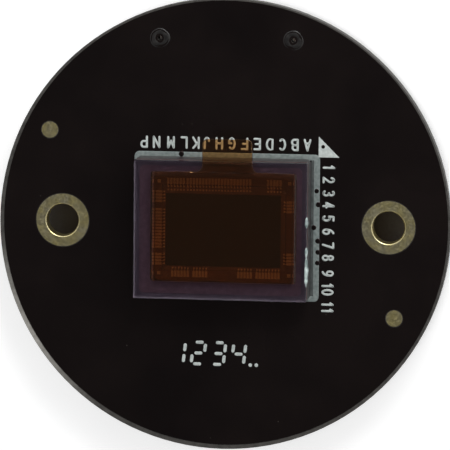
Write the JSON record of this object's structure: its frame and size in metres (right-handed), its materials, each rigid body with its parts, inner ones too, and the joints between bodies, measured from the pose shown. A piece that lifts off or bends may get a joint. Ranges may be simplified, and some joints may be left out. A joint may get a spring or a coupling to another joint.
{
  "type": "camera module sensor board",
  "caption": "Round camera sensor board: glass-covered image sensor with amber film on the front, two plated screw holes, board connector and supply parts on the back.",
  "frame": {"origin": "on the board's axis, in the plane of the connector's mouth, which is the lowest face", "axes": "+Z is the way the sensor looks, square to the board; +X runs through the two screw holes from the left one to the right one; +Y points to the side of the film's pull tab"},
  "size_m": [0.029, 0.029, 0.0056],
  "materials": {
    "laminate": "epoxy and glass-fibre laminate, routed edge",
    "solder_mask": "black solder mask, satin",
    "gold_plating": "thin gold over nickel, slightly uneven",
    "solder": "reflowed tin solder",
    "ceramic": "dark co-fired ceramic, matt",
    "bond_gold": "plated gold bonding metal",
    "silicon": "dark silicon die",
    "filter_array": "dark colour filters under micro lenses",
    "glass_seal": "cured grey resin",
    "cover_glass": "coated cover glass with a violet reflection",
    "film": "clear amber polyimide film",
    "connector_plastic": "black moulded polymer",
    "contact_metal": "gold plated copper alloy",
    "tinned_metal": "tin plated terminals",
    "moulding": "black moulded epoxy",
    "oscillator_ceramic": "pale fired ceramic",
    "oscillator_metal": "nickel plated lid",
    "bulk_moulding": "yellow moulded epoxy",
    "capacitor_ceramic": "fired brown ceramic",
    "resistor_ceramic": "white alumina",
    "resistor_coat": "black glaze",
    "ferrite": "dark grey ferrite"
  },
  "bodies": {
    "root": {"circuit_board": "laminate", "solder_mask_front": "solder_mask", "solder_mask_back": "solder_mask", "barrel_plating_left": "gold_plating", "barrel_plating_right": "gold_plating", "placement_marks": "gold_plating", "sensor_solder_joints": "solder", "sensor_package": "ceramic", "bond_fingers": "bond_gold", "image_die": "silicon", "pixel_array": "filter_array", "die_pads": "bond_gold", "bond_wires": "bond_gold", "glass_seal": "glass_seal", "cover_glass": "cover_glass", "protective_film": "film", "back_lands": "solder", "connector_housing": "connector_plastic", "connector_contacts": "contact_metal", "connector_anchors": "tinned_metal", "regulator_bodies": "moulding", "regulator_leads": "tinned_metal", "oscillator_base": "oscillator_ceramic", "oscillator_lid": "oscillator_metal", "bulk_capacitor_bodies": "bulk_moulding", "bulk_capacitor_terminals": "tinned_metal", "capacitor_bodies": "capacitor_ceramic", "capacitor_ends": "tinned_metal", "resistor_bodies": "resistor_ceramic", "resistor_coats": "resistor_coat", "resistor_ends": "tinned_metal", "ferrite_bodies": "ferrite", "ferrite_ends": "tinned_metal", "solder_fillets": "solder"}
  },
  "joints": []
}
